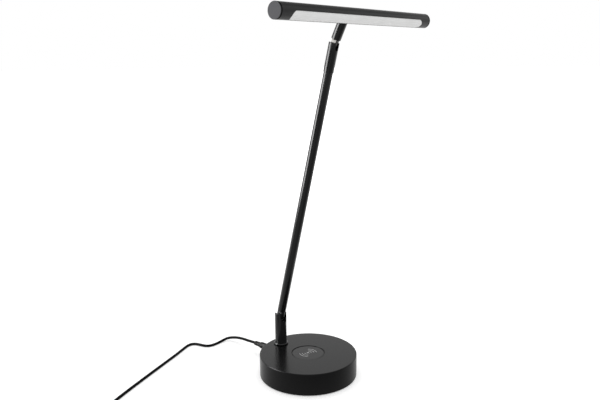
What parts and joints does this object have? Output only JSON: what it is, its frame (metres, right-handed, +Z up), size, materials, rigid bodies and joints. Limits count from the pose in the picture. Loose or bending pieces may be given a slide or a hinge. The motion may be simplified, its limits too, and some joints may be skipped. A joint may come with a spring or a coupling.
{
  "type": "piano lamp",
  "caption": "Slim lamp with a round weighted base, a leaning pole on a slotted post, a tilting neck and a round horizontal light bar with a pale diffuser.",
  "frame": {"origin": "centre of the base's underside", "axes": "+Z up, -Y the way the pole leans, X along the light bar"},
  "size_m": [0.4255, 0.2849, 0.4748],
  "materials": {
    "housing": "fine satin black",
    "cover": "matt black",
    "foot": "matt black",
    "steel": "plain",
    "dark_steel": "blackened",
    "ballast": "plain",
    "pad": "smooth satin black",
    "copper": "plain copper",
    "ferrite": "matt",
    "board": "semi-gloss",
    "black_parts": "matt black",
    "brass": "plain",
    "painted": "satin black",
    "bare_metal": "bare, smooth",
    "bar": "fine matt black",
    "cap": "matt black",
    "diffuser": "frosted",
    "spreader": "plain",
    "white_board": "matt white",
    "lamps": "yellow resin",
    "plug": "satin black",
    "plated": "plated",
    "cord": "satin black",
    "tie": "matt black"
  },
  "bodies": {
    "base": {"base_housing": "housing", "bottom_cover": "cover", "foot_pad": "foot", "cover_screws": "steel", "ballast": "ballast", "charging_pad": "pad", "charging_coil": "copper", "ferrite_disc": "ferrite", "control_board": "board", "board_parts": "black_parts", "board_spacers": "brass", "touch_plate": "copper", "power_socket": "black_parts", "post": "painted", "collar_ring": "painted", "post_washer": "steel", "post_nut": "steel", "lower_pivot_screw": "dark_steel", "lower_washers": "dark_steel", "plug_body": "plug", "plug_barrel": "plated", "strain_relief": "plug", "cord_run": "cord", "cord_coil": "cord", "cord_tail": "cord", "coil_tie": "tie", "far_relief": "plug", "far_plug": "plug", "far_plug_shell": "plated"},
    "arm": {"pole_foot": "dark_steel", "pole": "painted", "sleeve": "painted", "upper_pivot_screw": "dark_steel"},
    "head": {"knuckle": "bare_metal", "neck": "painted", "neck_cap": "black_parts", "stub": "painted", "bar_tube": "bar", "end_cap_left": "cap", "end_cap_right": "cap", "diffuser": "diffuser", "heat_spreader": "spreader", "light_board": "white_board", "lamps": "lamps"}
  },
  "joints": [
    {"name": "pole_tilt", "type": "hinge", "parent": "base", "child": "arm", "pos_m": [0, 0.049, 0.0703], "axis": [1, 0, 0], "range_deg": [-35, 75]},
    {"name": "head_tilt", "type": "hinge", "parent": "arm", "child": "head", "pos_m": [0, -0.04324, 0.43481], "axis": [1, 0, 0], "range_deg": [-90, 75]}
  ]
}
